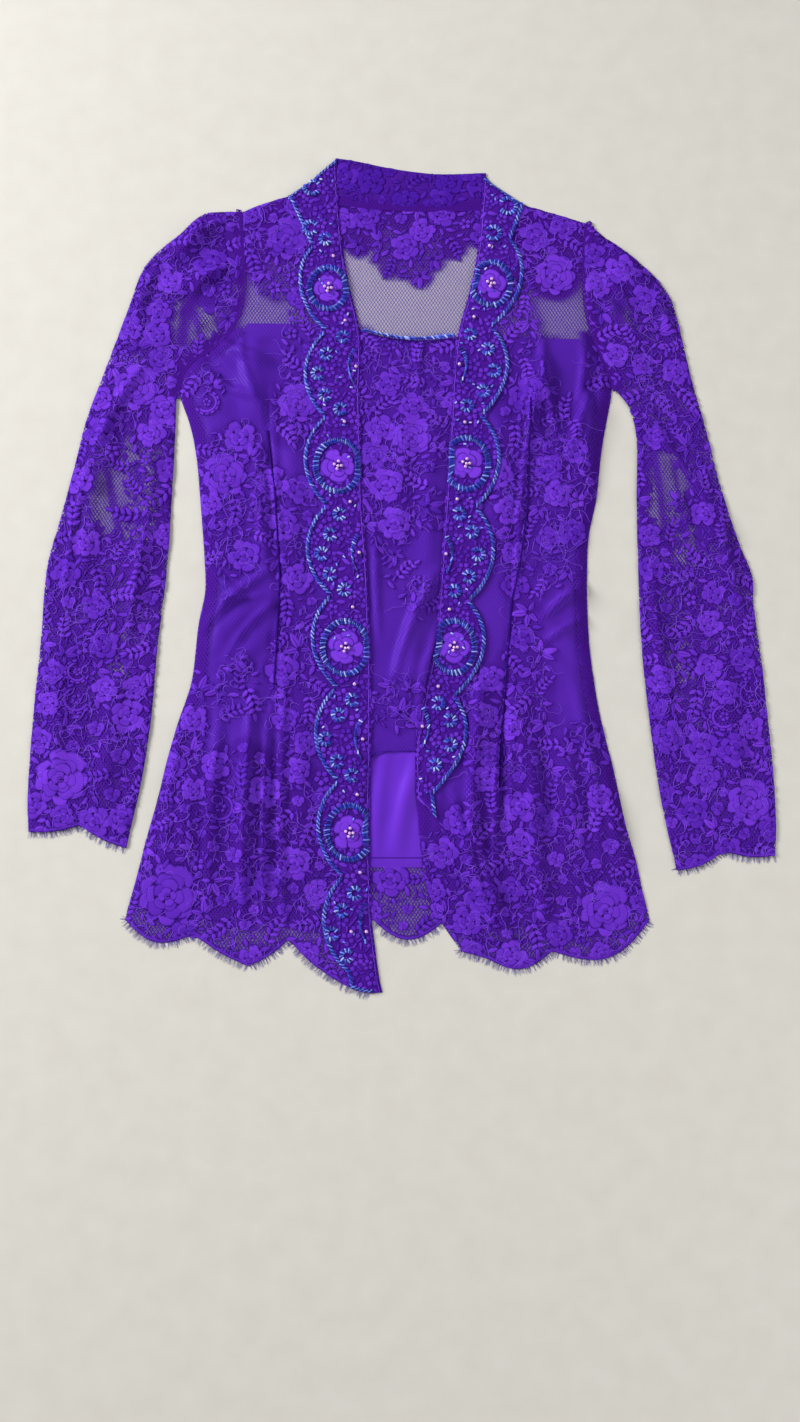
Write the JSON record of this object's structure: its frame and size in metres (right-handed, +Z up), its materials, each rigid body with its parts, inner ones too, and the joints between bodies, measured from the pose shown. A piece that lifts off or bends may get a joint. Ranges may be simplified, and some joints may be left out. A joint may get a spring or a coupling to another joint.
{
  "type": "lace kebaya blouse with kutubaru panel, laid flat",
  "caption": "Indigo lace kebaya blouse with beaded scalloped front bands and a kutubaru centre panel, lying flat on its back.",
  "frame": {"origin": "on the surface it lies on, below the middle of the garment's outline", "axes": "+X to the right as seen from above with the collar at the top, +Y towards the collar, +Z up from the surface"},
  "size_m": [0.702, 0.8288, 0.0128],
  "materials": {
    "lace": "embroidered lace on fine net, satin-stitch motifs with raised cords",
    "satin": "smooth lining satin with a soft sheen",
    "beaded_band": "dense lace worked over with bugle beads and pearls",
    "beads": "small dark blue glass beads, glossy",
    "fringe": "fine loose lace thread, matt"
  },
  "bodies": {
    "root": {"back": "lace", "back_lining": "satin", "band_left": "beaded_band", "band_right": "beaded_band", "collar": "beaded_band", "fringe_back": "fringe", "fringe_cuff_left": "fringe", "fringe_cuff_right": "fringe", "fringe_front_left": "fringe", "fringe_front_right": "fringe", "front_left": "lace", "front_lining_left": "satin", "front_lining_right": "satin", "front_right": "lace", "kutubaru": "lace", "kutubaru_lining": "satin", "kutubaru_rope": "beads", "sleeve_left": "lace", "sleeve_right": "lace"}
  },
  "joints": []
}
